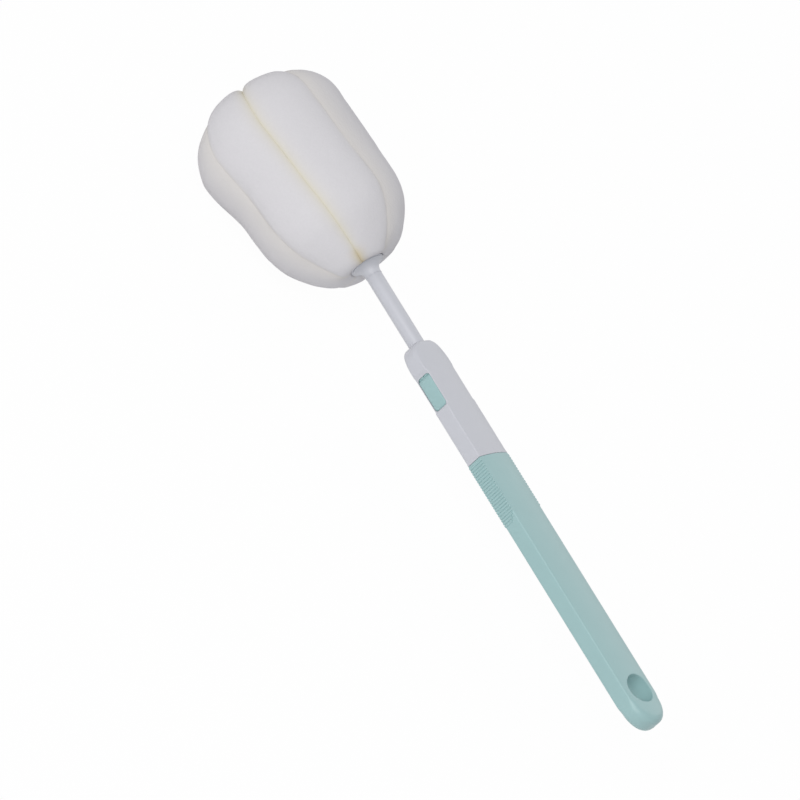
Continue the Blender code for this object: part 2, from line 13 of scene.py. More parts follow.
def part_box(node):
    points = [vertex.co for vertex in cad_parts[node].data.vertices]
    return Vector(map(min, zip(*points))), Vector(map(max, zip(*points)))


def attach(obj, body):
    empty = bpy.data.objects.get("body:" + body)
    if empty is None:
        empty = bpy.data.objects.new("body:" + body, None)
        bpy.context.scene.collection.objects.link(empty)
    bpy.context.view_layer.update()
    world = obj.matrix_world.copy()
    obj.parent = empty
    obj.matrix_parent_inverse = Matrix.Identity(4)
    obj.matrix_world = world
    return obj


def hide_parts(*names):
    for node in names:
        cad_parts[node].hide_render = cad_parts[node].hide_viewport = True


mm = 0.001

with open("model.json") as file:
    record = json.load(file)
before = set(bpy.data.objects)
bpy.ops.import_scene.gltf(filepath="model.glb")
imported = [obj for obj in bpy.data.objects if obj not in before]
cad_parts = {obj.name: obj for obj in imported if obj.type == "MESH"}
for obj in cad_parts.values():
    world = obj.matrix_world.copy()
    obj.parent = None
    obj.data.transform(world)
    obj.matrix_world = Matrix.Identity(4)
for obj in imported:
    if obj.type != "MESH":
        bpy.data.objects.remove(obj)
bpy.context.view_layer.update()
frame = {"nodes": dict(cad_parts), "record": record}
handleLow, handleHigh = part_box("handle_shell")
housingLow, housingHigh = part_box("socket_housing")
cupLow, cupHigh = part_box("base_cup")
clipLow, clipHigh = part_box("end_clip")
stemLow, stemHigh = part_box("stem_rod")
axisHeight = (handleLow.z + handleHigh.z) / 2
fitGap = 0.3 * mm  # between pieces that touch
overshoot = 1 * mm  # how far a cutter reaches past what it cuts
coreTurn = math.radians(-60)  # the foam clamp's turn about the brush
print("frame loaded, axis at", round(axisHeight / mm, 2), "mm")


# Node trees written as sums


def operator(name, swapped=False):
    # A method that adds one Math node
    def made(signal, other):
        first, second = (other, signal) if swapped else (signal, other)
        return signal.math(name, first, second)

    return made


class Signal:
    # One socket of a node tree that can stand in an expression
    def __init__(self, graph, socket):
        self.graph = graph
        self.socket = socket

    def math(self, operation, first, second=0.0, clamp=False):
        settings = {"operation": operation, "use_clamp": clamp}
        return self.graph.node("ShaderNodeMath", settings, {0: first, 1: second})

    __add__ = operator("ADD")
    __sub__ = operator("SUBTRACT")
    __mul__ = operator("MULTIPLY")
    __truediv__ = operator("DIVIDE")
    __pow__ = operator("POWER")
    __radd__ = operator("ADD", True)
    __rsub__ = operator("SUBTRACT", True)
    __rmul__ = operator("MULTIPLY", True)
    smallest = operator("MINIMUM")
    largest = operator("MAXIMUM")


class Graph:
    # A node tree with one method for every kind of node
    def __init__(self, tree):
        self.tree = tree

    def node(self, kind, settings=None, values=None, out=0):
        made = self.tree.nodes.new(kind)
        for key, value in (settings or {}).items():
            setattr(made, key, value)
        self.feed(made, values or {})
        return Signal(self, made.outputs[out]) if made.outputs else None

    def feed(self, made, values):
        for key, value in values.items():
            if isinstance(value, Signal):
                self.tree.links.new(value.socket, made.inputs[key])
            else:
                made.inputs[key].default_value = value

    def mixed(self, share, first, second):
        settings = {"data_type": "RGBA"}
        return self.node("ShaderNodeMix", settings, {0: share, 6: first, 7: second}, 2)

    def noise(self, place, scale, detail, roughness):
        values = {"Vector": place, "Scale": scale, "Detail": detail, "Roughness": roughness}
        return self.node("ShaderNodeTexNoise", {}, values)

    def bump(self, strength, distance, height):
        values = {"Strength": strength, "Distance": distance, "Height": height}
        return self.node("ShaderNodeBump", {}, values)

    def vector(self, **parts):
        return self.node("ShaderNodeCombineXYZ", {}, parts)

    def held(self, name):
        # A number that the vertices carry, kept between 0 and 1
        carried = self.node("ShaderNodeAttribute", {"attribute_name": name}, {}, 2)
        return carried.math("ADD", carried, 0.0, True)


# Materials


def freshMaterial(name, look):
    material = bpy.data.materials.new(name)
    material.use_nodes = True
    material.diffuse_color = shade(look["colour"], 1.0)
    graph = Graph(material.node_tree)
    shader = material.node_tree.nodes["Principled BSDF"]
    place = graph.node("ShaderNodeTexCoord", {}, {}, 3)
    return material, graph, shader, place


def mottled(graph, look, mottle):
    # The colour, a little darker and paler in patches
    low = shade(look["colour"], 1 - look["mottleDepth"])
    high = shade(look["colour"], 1 + look["mottleDepth"])
    return graph.mixed(mottle, low, high)


def shade(colour, factor):
    return tuple(min(c * factor, 1.0) for c in colour) + (1.0,)


mintPlastic = dict(
    colour=(0.329, 0.502, 0.506),
    roughness=0.34,
    roughnessSpread=0.06,
    mottleScale=90.0,
    mottleDepth=0.025,
    sheenScale=243.0,
    grainScale=5200.0,  # spark-eroded mould finish
    grainDepth=0.006 * mm,
    specular=0.45,
)

whitePlastic = dict(
    mintPlastic,
    colour=(0.552, 0.560, 0.603),
    roughness=0.36,
    mottleDepth=0.02,
    grainDepth=0.005 * mm,
)


def mouldedPlastic(name, look):
    # Satin injection-moulded plastic: soft sheen patches and a very fine mould grain
    material, graph, shader, place = freshMaterial(name, look)
    colour = mottled(graph, look, graph.noise(place, look["mottleScale"], 3.0, 0.55))
    sheen = graph.noise(place, look["sheenScale"], 2.0, 0.5)
    roughness = look["roughness"] + (sheen - 0.5) * (2 * look["roughnessSpread"])
    grain = graph.bump(1.0, look["grainDepth"], graph.noise(place, look["grainScale"], 2.0, 0.6))
    graph.feed(shader, {"Base Color": colour, "Roughness": roughness, "Normal": grain})
    graph.feed(shader, {"Specular IOR Level": look["specular"]})
    return material


foamLook = dict(
    colour=(0.674, 0.660, 0.680),
    painted_fold_shade=(0.690, 0.645, 0.495),  # painted shade: warm yellow down in the main fold
    painted_crease_shade=(0.690, 0.662, 0.632),  # painted shade: a warm tint beside the creases
    core_yellow=(0.600, 0.515, 0.350),  # at the core, where the fold opens
    mottleScale=1100.0,
    mottleDepth=0.04,
    poreScale=1500.0,
    clumpScale=675.0,
    poreDepth=0.10 * mm,
    poreStrength=0.6,
    roughness=0.95,
    specular=0.1,
)


def openFoam(name, look):
    # Fine open-cell foam: pores, a soft mottle, painted warm shade in and beside the creases, and a
    # yellow-brown tint at the core
    material, graph, shader, place = freshMaterial(name, look)
    pores = graph.node("ShaderNodeTexVoronoi", {}, {"Vector": place, "Scale": look["poreScale"]})
    clumps = graph.noise(place, look["clumpScale"], 2.0, 0.6)
    colour = mottled(graph, look, graph.noise(place, look["mottleScale"], 4.0, 0.65))
    # Mixes in the painted fold shade, the painted crease shade and the yellow-brown core tint, by the
    # weights the vertices carry
    for tint in ("painted_crease_shade", "painted_fold_shade", "core_yellow"):
        colour = graph.mixed(graph.held(tint), colour, shade(look[tint], 1.0))
    bump = graph.bump(look["poreStrength"], look["poreDepth"], pores * 0.6 + clumps * 0.8)
    graph.feed(shader, {"Base Color": colour, "Roughness": look["roughness"], "Normal": bump})
    graph.feed(shader, {"Specular IOR Level": look["specular"]})
    return material


mint = mouldedPlastic("mint_plastic_finish", mintPlastic)
white = mouldedPlastic("white_plastic_finish", whitePlastic)
foamSkin = openFoam("foam_finish", foamLook)
print("materials made")


# Mesh helpers


sharpAngle = 35  # degrees, past which an edge is drawn sharp


def linked(name, data):
    made = bpy.data.objects.new(name, data)
    bpy.context.scene.collection.objects.link(made)
    return made


def meshPiece(name, shape, material=None, sharp=sharpAngle):
    # Closes the working mesh into an object whose place is in its vertices
    bmesh.ops.remove_doubles(shape, verts=shape.verts, dist=1e-7)
    bmesh.ops.recalc_face_normals(shape, faces=shape.faces)
    data = bpy.data.meshes.new(name)
    shape.to_mesh(data)
    shape.free()
    data.shade_smooth()
    data.set_sharp_from_angle(angle=math.radians(sharp))
    piece = linked(name, data)
    if material:
        data.materials.append(material)
    return piece


def applied(piece):
    # The piece with its modifiers worked into a plain mesh
    bpy.context.view_layer.update()
    evaluated = piece.evaluated_get(bpy.context.evaluated_depsgraph_get())
    data = bpy.data.meshes.new_from_object(evaluated)
    piece.modifiers.clear()
    piece.data = data
    return piece


def combined(piece, others, operation):
    # Cuts the others from the piece or joins them to it, and deletes them
    for other in others:
        change = piece.modifiers.new("combined", "BOOLEAN")
        change.operation = operation
        change.solver = "EXACT"
        change.object = other
    applied(piece)
    piece.data.shade_smooth()
    piece.data.set_sharp_from_angle(angle=math.radians(sharpAngle))
    for other in others:
        bpy.data.objects.remove(other, do_unlink=True)
    return piece


def bridgeRings(shape, rings, capped=False):
    # Skin between rings that have equal numbers of points, and over both ends if capped
    loops = [[shape.verts.new(point) for point in ring] for ring in rings]
    for lower, upper in zip(loops, loops[1:]):
        for i in range(len(lower)):
            j = (i + 1) % len(lower)
            shape.faces.new((lower[i], lower[j], upper[j], upper[i]))
    if capped:
        for loop in (loops[0], loops[-1]):
            shape.faces.new(loop)
    return loops


def sortedCorners(one, other):
    return [tuple(map(pick, one, other)) for pick in (min, max)]


def boxPiece(name, one, other):
    shape = bmesh.new()
    low, high = sortedCorners(one, other)
    corners = ((low[1], low[2]), (high[1], low[2]), (high[1], high[2]), (low[1], high[2]))
    bridgeRings(shape, [[Vector((x, y, z)) for y, z in corners] for x in (low[0], high[0])], True)
    return meshPiece(name, shape)


def roundedBlock(name, one, other, radius, steps=6):
    # A block whose four edges along Y are rounded
    low, high = sortedCorners(one, other)
    corners = (
        (high[0] - radius, high[2] - radius, 0),
        (low[0] + radius, high[2] - radius, 90),
        (low[0] + radius, low[2] + radius, 180),
        (high[0] - radius, low[2] + radius, 270),
    )
    outline = []
    for x, z, first in corners:
        outline += alongArc((x, z), radius, first, first + 90, steps, 1)
    shape = bmesh.new()
    bridgeRings(shape, [[Vector((x, y, z)) for x, z in outline] for y in (low[1], high[1])], True)
    return meshPiece(name, shape)


def turned(name, profile, material=None, closed=False, segments=72):
    # A turned piece about the brush's axis, from (x, radius) pairs
    rings = []
    for x, radius in profile:
        circle = alongArc((0, axisHeight), radius, 0, 360, segments)
        rings.append([Vector((x, y, z)) for y, z in circle])
    shape = bmesh.new()
    bridgeRings(shape, rings + rings[:1] if closed else rings, not closed)
    return meshPiece(name, shape, material)


def roundedCorner(start, corner, end, radius, steps=4):
    # A short arc in place of the corner of a profile
    corner, start, end = Vector(corner), Vector(start), Vector(end)
    first = corner + (start - corner).normalized() * radius
    last = corner + (end - corner).normalized() * radius
    points = []
    for i in range(steps + 1):
        t = i / steps
        points.append(first * (1 - t) ** 2 + corner * (2 * t * (1 - t)) + last * t * t)
    return [tuple(p) for p in points]


def softened(node, material, width):
    # A copy of a rigid CAD piece with its edges eased, as a mould leaves them
    shape = bmesh.new()
    shape.from_mesh(frame["nodes"][node].data)
    bmesh.ops.remove_doubles(shape, verts=shape.verts, dist=1e-6)
    angle = math.radians(1)
    bmesh.ops.dissolve_limit(shape, angle_limit=angle, verts=shape.verts, edges=shape.edges)
    least = math.radians(sharpAngle)
    crisp = [e for e in shape.edges if len(e.link_faces) == 2 and e.calc_face_angle(0) > least]
    how = dict(offset_type="OFFSET", segments=2, profile=0.5, affect="EDGES", clamp_overlap=True)
    bmesh.ops.bevel(shape, geom=crisp, offset=width, **how)
    return meshPiece(node + "_eased", shape, material)


def standFor(piece, node):
    body = next(b for b, nodes in frame["record"]["behaviour"]["bodies"].items() if node in nodes)
    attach(piece, body)
    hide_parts(node)
    return piece


# Flat bars with crowned broad faces, for the handle and the housing

bar = dict(
    sideHeight=7.2 * mm,
    width=17.6 * mm,
    crown=1.0 * mm,
    mouthCorner=1.4,  # radius of the outline's corners where the two meet, in edge radii
    mouthLip=1.2 * mm,  # over which the edges close up to the mouth
    spacing=0.8 * mm,
)


def eased(t):
    t = max(0.0, min(1.0, t))
    return t * t * (3 - 2 * t)


def toward(value, target, share):
    return value + (target - value) * eased(share)


def alongLine(start, end, spacing=0.7 * mm):
    # Points at about this spacing, the last one left out
    start, end = Vector(start), Vector(end)
    steps = max(1, round((end - start).length / spacing))
    return [start.lerp(end, i / steps) for i in range(steps)]


def alongArc(centre, radius, first, last, steps, extra=0):
    # Angles in degrees, the last point left out unless it is asked for as an extra one
    points = []
    for i in range(steps + extra):
        angle = math.radians(first + (last - first) * i / steps)
        points.append(Vector((centre[0] + radius * math.cos(angle), centre[1] + radius * math.sin(angle))))
    return points


def edgeRings(loop, fillet, steps):
    # Rings from the loop into the material on its left, as (x, y, drop from the broad face)
    count = len(loop)
    rings = [[] for _ in range(steps + 1)]
    for i, point in enumerate(loop):
        run = loop[(i + 1) % count] - loop[i - 1]
        inward = Vector((-run.y, run.x)).normalized()
        radius = fillet(point)
        for k in range(steps + 1):
            angle = math.pi / 2 * k / steps
            place = point + inward * (radius * (1 - math.cos(angle)))
            rings[k].append((place.x, place.y, radius * (1 - math.sin(angle))))
    return rings


def insideLoop(points, loop):
    # Even-odd test of many points against one polygon
    x, y = points[:, 0], points[:, 1]
    inside = np.zeros(len(points), bool)
    for (ax, ay), (bx, by) in zip(loop, loop[1:] + loop[:1]):
        crosses = (ay > y) != (by > y)
        with np.errstate(divide="ignore", invalid="ignore"):
            edgeX = (bx - ax) * (y - ay) / (by - ay) + ax
        inside ^= crosses & (x < edgeX)
    return inside


def insideArea(points, loops):
    # Inside the first loop and outside the others
    keep = insideLoop(points, loops[0])
    for hole in loops[1:]:
        keep &= ~insideLoop(points, hole)
    return keep


def fillPoints(loops, spacing):
    # Grid points inside the area, clear of all its loops
    outer = np.array(loops[0])
    low, high = outer.min(0), outer.max(0)
    xs = np.arange(low[0] + spacing / 2, high[0], spacing)
    ys = np.arange(low[1] + spacing / 2, high[1], spacing)
    grid = np.array([(x, y) for x in xs for y in ys])
    grid = grid[insideArea(grid, loops)]
    for loop in loops:
        rim = np.array(loop)
        distance = np.sqrt(((grid[:, None, :] - rim[None, :, :]) ** 2).sum(2)).min(1)
        grid = grid[distance > spacing * 0.55]
    return [tuple(p) for p in grid]


def crownedHeight(look):
    span = look["width"] / 2 - look["edgeRadius"]
    return lambda x, y: look["sideHeight"] / 2 + look["crown"] * (1 - (y / span) ** 2)


def barShell(name, outline, hole, fillet, look, material):
    # A solid bar: crowned broad faces, rolled edges, upright sides and an optional round hole
    height = crownedHeight(look)
    rims = [edgeRings(outline, fillet, 7)]
    if hole:
        rims.append(edgeRings(hole, lambda point: look["holeEdge"], 5))
    loops = [[(x, y) for x, y, drop in rim[-1]] for rim in rims]
    flat = [Vector(p) for points in (*loops, fillPoints(loops, look["spacing"])) for p in points]
    edges = []
    start = 0
    for loop in loops:
        edges += [(start + i, start + (i + 1) % len(loop)) for i in range(len(loop))]
        start += len(loop)
    made = geometry.delaunay_2d_cdt(flat, edges, [], 0, 1e-9)
    points, faces = made[0], made[2]
    centres = np.array([sum((points[i] for i in face), Vector((0, 0))) / len(face) for face in faces])
    keep = insideArea(centres, loops)
    shape = bmesh.new()

    def risen(ring, share):
        # A ring at this share of the bar's half height, less its edge's drop
        return [Vector((x, y, axisHeight + share * (height(x, y) - drop))) for x, y, drop in ring]

    for side in (1, -1):
        broad = [shape.verts.new(v) for v in risen([(p.x, p.y, 0.0) for p in points], side)]
        for face, kept in zip(faces, keep):
            if kept:
                shape.faces.new([broad[i] for i in face])
        for rim in rims:
            bridgeRings(shape, [risen(ring, side) for ring in rim])
    wallSteps = 6
    for rim in rims:
        bridgeRings(shape, [risen(rim[0], 1 - 2 * k / wallSteps) for k in range(wallSteps + 1)])
    return meshPiece(name, shape, material)


def hollowBox(look, start, end):
    # What a bar's walls leave free between two stations
    y = look["width"] / 2 - look["sideWall"]
    z = look["sideHeight"] / 2 - look["faceWall"]
    return boxPiece("hollow", (start, -y, axisHeight - z), (end, y, axisHeight + z))


# Handle

handle = dict(
    bar,
    edgeRadius=0.55 * mm,
    shoulderRadius=1.7 * mm,  # of the edges where the straight sides end
    shoulderReach=3.0 * mm,
    noseRadius=2.9 * mm,  # how far the broad faces roll off at the free end
    noseLength=12.2 * mm,  # over which the edges open out into the nose
    mouthRadius=0.16 * mm,
    holeDiameter=12.2 * mm,
    holeStation=14.7 * mm,
    holeEdge=0.38 * mm,
    holeDraft=0.95 * mm,  # how much narrower the hole is on the underside
    draftReach=2.0 * mm,
    sideWall=2.0 * mm,
    faceWall=1.2 * mm,
    web=2.0 * mm,
)


def makeHandle(look):
    half = look["width"] / 2
    start, mouth = handleLow.x, handleHigh.x
    corner = look["mouthRadius"] * look["mouthCorner"]
    outline = alongLine((mouth, -half + corner), (mouth, half - corner))
    outline += alongArc((mouth - corner, half - corner), corner, 0, 90, 5)
    outline += alongLine((mouth - corner, half), (start + half, half))
    outline += alongArc((start + half, 0), half, 90, 270, 56)
    outline += alongLine((start + half, -half), (mouth - corner, -half))
    outline += alongArc((mouth - corner, -half + corner), corner, 270, 360, 5)
    holeX, holeRadius = start + look["holeStation"], look["holeDiameter"] / 2
    hole = alongArc((holeX, 0), holeRadius, 360, 0, 80)

    def fillet(point):
        past = start + look["noseLength"] - point.x
        rolled = toward(look["edgeRadius"], look["shoulderRadius"], past / look["shoulderReach"])
        rolled += (look["noseRadius"] - look["shoulderRadius"]) * eased(past / look["noseLength"])
        return toward(rolled, look["mouthRadius"], (point.x - mouth) / look["mouthLip"] + 1)

    piece = barShell("handle", outline, hole, fillet, look, mint)
    for vertex in piece.data.vertices:
        away = Vector((vertex.co.x - holeX, vertex.co.y))
        low = eased(0.5 - (vertex.co.z - axisHeight) / look["sideHeight"])
        near = eased(1 - (away.length - holeRadius) / look["draftReach"])
        inward = away.normalized() * look["holeDraft"] * low * near
        vertex.co.x -= inward.x
        vertex.co.y -= inward.y
    hollow = hollowBox(look, holeX + holeRadius + look["web"], mouth + overshoot)
    combined(piece, [hollow], "DIFFERENCE")
    return standFor(piece, "handle_shell")


handlePiece = makeHandle(handle)
print("handle made:", len(handlePiece.data.polygons), "faces")


# Grip ribs, repeated by a Geometry Nodes tree

ribs = dict(
    count=23,
    pitch=1.2 * mm,
    startGap=1.2 * mm,
    height=0.27 * mm,
    width=1.02 * mm,
    length=6.9 * mm,
    shortest=0.62,  # length share of the last rib
    growth=0.13,  # how much longer each rib before it is
)

ribSizes = ("Pitch", "Height", "Width", "Length", "Shortest", "Growth")


def startTree(name, inputs):
    # A Geometry Nodes tree with named inputs, and what each of them gives
    tree = bpy.data.node_groups.new(name, "GeometryNodeTree")
    tree.is_modifier = True
    kinds = {"Geometry": "Geometry", **inputs, "Finish": "Material"}
    for label, kind in kinds.items():
        tree.interface.new_socket(label, in_out="INPUT", socket_type="NodeSocket" + kind)
    tree.interface.new_socket("Geometry", in_out="OUTPUT", socket_type="NodeSocketGeometry")
    graph = Graph(tree)
    return graph, {label: graph.node("NodeGroupInput", {}, {}, label) for label in kinds}


def endTree(graph, shape, finish):
    values = {"Geometry": shape, "Material": finish}
    graph.node("NodeGroupOutput", {}, {0: graph.node("GeometryNodeSetMaterial", {}, values)})
    return graph.tree


def ribTree():
    graph, take = startTree("grip_ribs", {"Count": "Int", **dict.fromkeys(ribSizes, "Float")})
    index = graph.node("GeometryNodeInputIndex")
    share = (take["Shortest"] + (take["Count"] - 1 - index) * take["Growth"]).smallest(1.0)
    half = take["Length"] / 2
    step = graph.vector(X=0.0 - take["Pitch"])
    values = {"Count": take["Count"], "Offset": step}
    spine = graph.node("GeometryNodeMeshLine", {"mode": "OFFSET"}, values)
    values = {"Geometry": spine, "Offset": graph.vector(Z=half * (share - 1))}
    placed = graph.node("GeometryNodeSetPosition", {}, values)
    ends = {"Start": graph.vector(Z=0.0 - half), "End": graph.vector(Z=half)}
    line = graph.node("GeometryNodeCurvePrimitiveLine", {}, ends)
    fine = graph.node("GeometryNodeResampleCurve", {}, {"Curve": line, "Count": 13})
    along = graph.node("GeometryNodeSplineParameter")
    out = graph.node("ShaderNodeMath", {"operation": "ABSOLUTE"}, {0: along * 2 - 1})
    roundness = (1.02 - out**6) ** 0.5
    swelled = graph.node("GeometryNodeSetCurveRadius", {}, {"Curve": fine, "Radius": roundness})
    ring = graph.node("GeometryNodeCurvePrimitiveCircle", {}, {"Resolution": 12, "Radius": 1.0})
    flat = graph.vector(X=take["Width"] / 2, Y=take["Height"], Z=1.0)
    section = graph.node("GeometryNodeTransform", {}, {"Geometry": ring, "Scale": flat})
    values = {"Curve": swelled, "Profile Curve": section, "Fill Caps": True}
    rib = graph.node("GeometryNodeCurveToMesh", {}, values)
    values = {"Points": placed, "Instance": rib, "Scale": graph.vector(X=1.0, Y=1.0, Z=share)}
    copies = graph.node("GeometryNodeInstanceOnPoints", {}, values)
    solid = graph.node("GeometryNodeRealizeInstances", {}, {"Geometry": copies})
    smooth = graph.node("GeometryNodeSetShadeSmooth", {}, {"Geometry": solid})
    return endTree(graph, smooth, take["Finish"])


def grown(piece, tree, inputs):
    # Runs a Geometry Nodes tree on a mesh and keeps its result as a plain one
    change = piece.modifiers.new("nodes", "NODES")
    change.node_group = tree
    for item in tree.interface.items_tree:
        if item.in_out == "INPUT" and item.name in inputs:
            change[item.identifier] = inputs[item.name]
    return applied(piece)


def makeRibs(look, tree):
    inputs = {name: look[name.lower()] for name in ("Count", *ribSizes)}
    for name, side in (("grip_ribs_left", 1), ("grip_ribs_right", -1)):
        piece = grown(linked(name, bpy.data.meshes.new(name)), tree, {**inputs, "Finish": mint})
        shift = Vector((handleHigh.x - look["startGap"], side * handle["width"] / 2, axisHeight))
        piece.data.transform(Matrix.Translation(shift))
        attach(piece, "handle")
    return piece


ribPiece = makeRibs(ribs, ribTree())
print("grip ribs made:", len(ribPiece.data.polygons), "faces a side")


# Socket housing

housing = dict(
    bar,
    edgeRadius=0.50 * mm,
    mouthRadius=0.16 * mm,
    archRise=7.8 * mm,
    archTop=6.8 * mm,
    archFullness=2.5,  # 2 is an ellipse, more is squarer
    archEdge=1.7 * mm,
    archLead=2.0 * mm,  # how far before the arch its edges start to open out
    sideWall=1.0 * mm,
    faceWall=0.35 * mm,
    socketDepth=43.0 * mm,
    windowEnd=3.6 * mm,
    windowLength=14.7 * mm,
    windowSkin=0.3 * mm,
    windowCorner=1.5 * mm,
    notchDepth=0.8 * mm,
    notchRamp=1.0 * mm,
    upperRamp=2.3 * mm,  # the slope above a window is longer
    notchLead=0.15 * mm,  # how far a notch starts before its window
    notchEdge=0.28 * mm,
    seamGap=0.10 * mm,  # to the handle's mouth
    spigotLength=8.6 * mm,
    spigotDiameter=5.0 * mm,
)


def windowSpan():
    high = housingLow.x + housing["socketDepth"] - housing["windowEnd"]
    return high - housing["windowLength"], high


def makeHousing(look):
    half = look["width"] / 2
    rim, top = handleHigh.x + look["seamGap"], housingHigh.x
    corner = look["mouthRadius"] * look["mouthCorner"]
    windowLow, windowHigh = windowSpan()
    notchLow = windowLow - look["notchLead"]
    archStart = top - look["archRise"]
    middle = (windowLow + windowHigh) / 2
    floor = half - look["notchDepth"]
    rampEnd = notchLow + look["notchRamp"] / 2
    slopeStart = 2 * middle - rampEnd

    def ramp(start, length, first, rise, steps=10):
        # An S-shaped slope in the narrow side, the last point left out
        shares = [i / steps for i in range(steps)]
        return [Vector((start + length * t, first + rise * eased(t))) for t in shares]

    edge = alongArc((rim + corner, half - corner), corner, 180, 90, 5)
    edge += alongLine((rim + corner, half), (rampEnd - look["notchRamp"], half))
    edge += ramp(rampEnd - look["notchRamp"], look["notchRamp"], half, -look["notchDepth"])
    edge += alongLine((rampEnd, floor), (slopeStart, floor))
    edge += ramp(slopeStart, look["upperRamp"], floor, look["notchDepth"])
    edge += alongLine((slopeStart + look["upperRamp"], half), (archStart, half))
    share = 2 / look["archFullness"]
    last = math.acos((look["archTop"] / look["width"]) ** (1 / share))
    archSteps = 26
    for i in range(archSteps + 1):
        angle = last * i / archSteps
        x = archStart + look["archRise"] * (math.sin(angle) / math.sin(last)) ** share
        edge.append(Vector((x, half * math.cos(angle) ** share)))
    cap = alongLine((top, -look["archTop"] / 2), (top, look["archTop"] / 2), 0.5 * mm)[1:]
    mouth = alongLine((rim, half - corner), (rim, -half + corner))[1:]
    outline = [Vector((p.x, -p.y)) for p in edge] + cap + edge[::-1] + mouth

    def fillet(point):
        arch = (point.x - archStart + look["archLead"]) / (look["archRise"] * 0.8)
        rolled = toward(look["edgeRadius"], look["archEdge"], arch)
        rolled = toward(rolled, look["mouthRadius"], (rim - point.x) / look["mouthLip"] + 1)
        near = abs(point.x - middle) - look["windowLength"] / 2
        return toward(rolled, look["notchEdge"], 1 - near / look["notchRamp"])

    piece = barShell("housing", outline, None, fillet, look, white)
    cutters = [hollowBox(look, rim - overshoot, housingLow.x + look["socketDepth"])]
    wall = look["sideWall"] + fitGap
    openDepth = look["sideHeight"] / 2 - look["windowSkin"]
    for side in (1, -1):
        low = (windowLow, side * (half - wall), axisHeight - openDepth)
        high = (windowHigh, side * (half + overshoot), axisHeight + openDepth)
        cutters.append(roundedBlock("window", low, high, look["windowCorner"]))
    boreRadius = look["spigotDiameter"] / 2 + fitGap
    bore = ((top - look["spigotLength"] - fitGap, boreRadius), (top + overshoot, boreRadius))
    cutters.append(turned("bore", bore))
    combined(piece, cutters, "DIFFERENCE")
    return standFor(piece, "socket_housing")


housingPiece = makeHousing(housing)
print("housing made:", len(housingPiece.data.polygons), "faces")


# Inner mechanism: eased copies of the CAD pieces

mechanism = dict(
    plugEdge=0.18 * mm,
    springEdge=0.10 * mm,
    clipEdge=0.12 * mm,
    toothReach=5.6 * mm,  # from the axis, so that the teeth stay under the buttons' caps
    trim=(12 * mm, 5 * mm),  # how far out and up the teeth are cut away
)


def makeMechanism(look):
    for node in ("plug_front_half", "plug_back_half"):
        standFor(softened(node, mint, look["plugEdge"]), node)
    spring = softened("latch_spring", mint, look["springEdge"])
    out, up = look["trim"]
    cutters = []
    for side in (1, -1):
        low = (handleLow.x, side * look["toothReach"], axisHeight - up)
        cutters.append(boxPiece("tooth_end", low, (housingHigh.x, side * out, axisHeight + up)))
    combined(spring, cutters, "DIFFERENCE")
    standFor(spring, "latch_spring")
    standFor(softened("end_clip", white, look["clipEdge"]), "end_clip")


makeMechanism(mechanism)


# Release buttons: the stem and foot are the CAD's, under a broad soft-edged cap

button = dict(
    recess=0.55 * mm,  # below the housing's narrow side
    thickness=1.3 * mm,
    halfHeight=3.20 * mm,
    endGap=0.12 * mm,
    rampGap=0.14 * mm,
    rampLength=2.2 * mm,
    rampDrop=1.15 * mm,
    rampStraight=0.35,  # the share of the ramp's drop that doesn't curve
    rampBack=0.2 * mm,  # how much deeper the cap reaches under its ramp
    least=0.1 * mm,
    edge=0.55 * mm,
    edgeDepth=0.44 * mm,
    stemEdge=0.2 * mm,
    dome=0.16 * mm,
    corner=1.4 * mm,
    footReach=4.0 * mm,  # from the axis, so that a pressed foot stays clear of the stiff spring
    rings=30,
    columns=16,
)


def capHeight(look, x, z, half, low, high):
    # Depth of the cap's face below its top: rounded edges, a slight dome and the ramp
    drop = look["dome"] * (z / look["halfHeight"]) ** 2
    down = max(0.0, (x - high) / look["rampLength"] + 1)
    straight = look["rampStraight"]
    ramp = look["rampDrop"] * (straight * down + (1 - straight) * down * down)
    edge = 0.0
    for reach in (half - abs(z), x - low, high - x):
        inside = min(max(reach / look["edge"], 0.0), 1.0)
        edge = max(edge, look["edgeDepth"] * (1 - math.sqrt(1 - (1 - inside) ** 2)))
    return min(drop + max(ramp, edge), capThickness(look, x, high) - look["least"])


def capThickness(look, x, high):
    under = eased((x - high) / look["rampLength"] + 1)
    return look["thickness"] + look["rampBack"] * under


def makeButton(node, side, look):
    windowLow, windowHigh = windowSpan()
    low, high = windowLow + look["endGap"], windowHigh - look["rampGap"]
    top = housing["width"] / 2 - look["recess"]
    rings = []
    for i in range(look["rings"] + 1):
        share = (1 - math.cos(math.pi * i / look["rings"])) / 2
        x = low + (high - low) * share
        back = side * (top - capThickness(look, x, high))
        into = min(1.0, min(x - low, high - x) / look["corner"])
        half = look["halfHeight"] - look["corner"] * (1 - math.sqrt(1 - (1 - into) ** 2))
        ring = [Vector((x, back, axisHeight + s * half)) for s in (-1, 1)]
        for j in range(look["columns"] + 1):
            z = half * math.cos(math.pi * j / look["columns"])
            y = top - capHeight(look, x, z, half, low, high)
            ring.append(Vector((x, side * y, axisHeight + z)))
        rings.append(ring)
    shape = bmesh.new()
    bridgeRings(shape, rings, True)
    piece = softened(node, mint, look["stemEdge"])
    combined(piece, [meshPiece("cap", shape, mint)], "UNION")
    far = look["footReach"]
    low = (housingLow.x, -far, axisHeight - far)
    foot = boxPiece("foot_end", low, (windowHigh + far, far, axisHeight + far))
    combined(piece, [foot], "DIFFERENCE")
    return standFor(piece, node)


makeButton("button_left", 1, button)
makeButton("button_right", -1, button)
print("plug, spring, buttons and clip made")


# Stem and base cup, turned about the axis

stem = dict(
    diameter=6.5 * mm,
    spigot=5.0 * mm,
    neck=5.2 * mm,
    disc=12.6 * mm,
    discThickness=1.2 * mm,
    tineWidth=2.4 * mm,
    tineDepth=1.7 * mm,
    tineOffset=4.1 * mm,
    barb=0.7 * mm,
    barbInset=0.2 * mm,
    edge=0.06 * mm,
    seat=0.02 * mm,  # hairline where the rod meets the housing and the cup
)

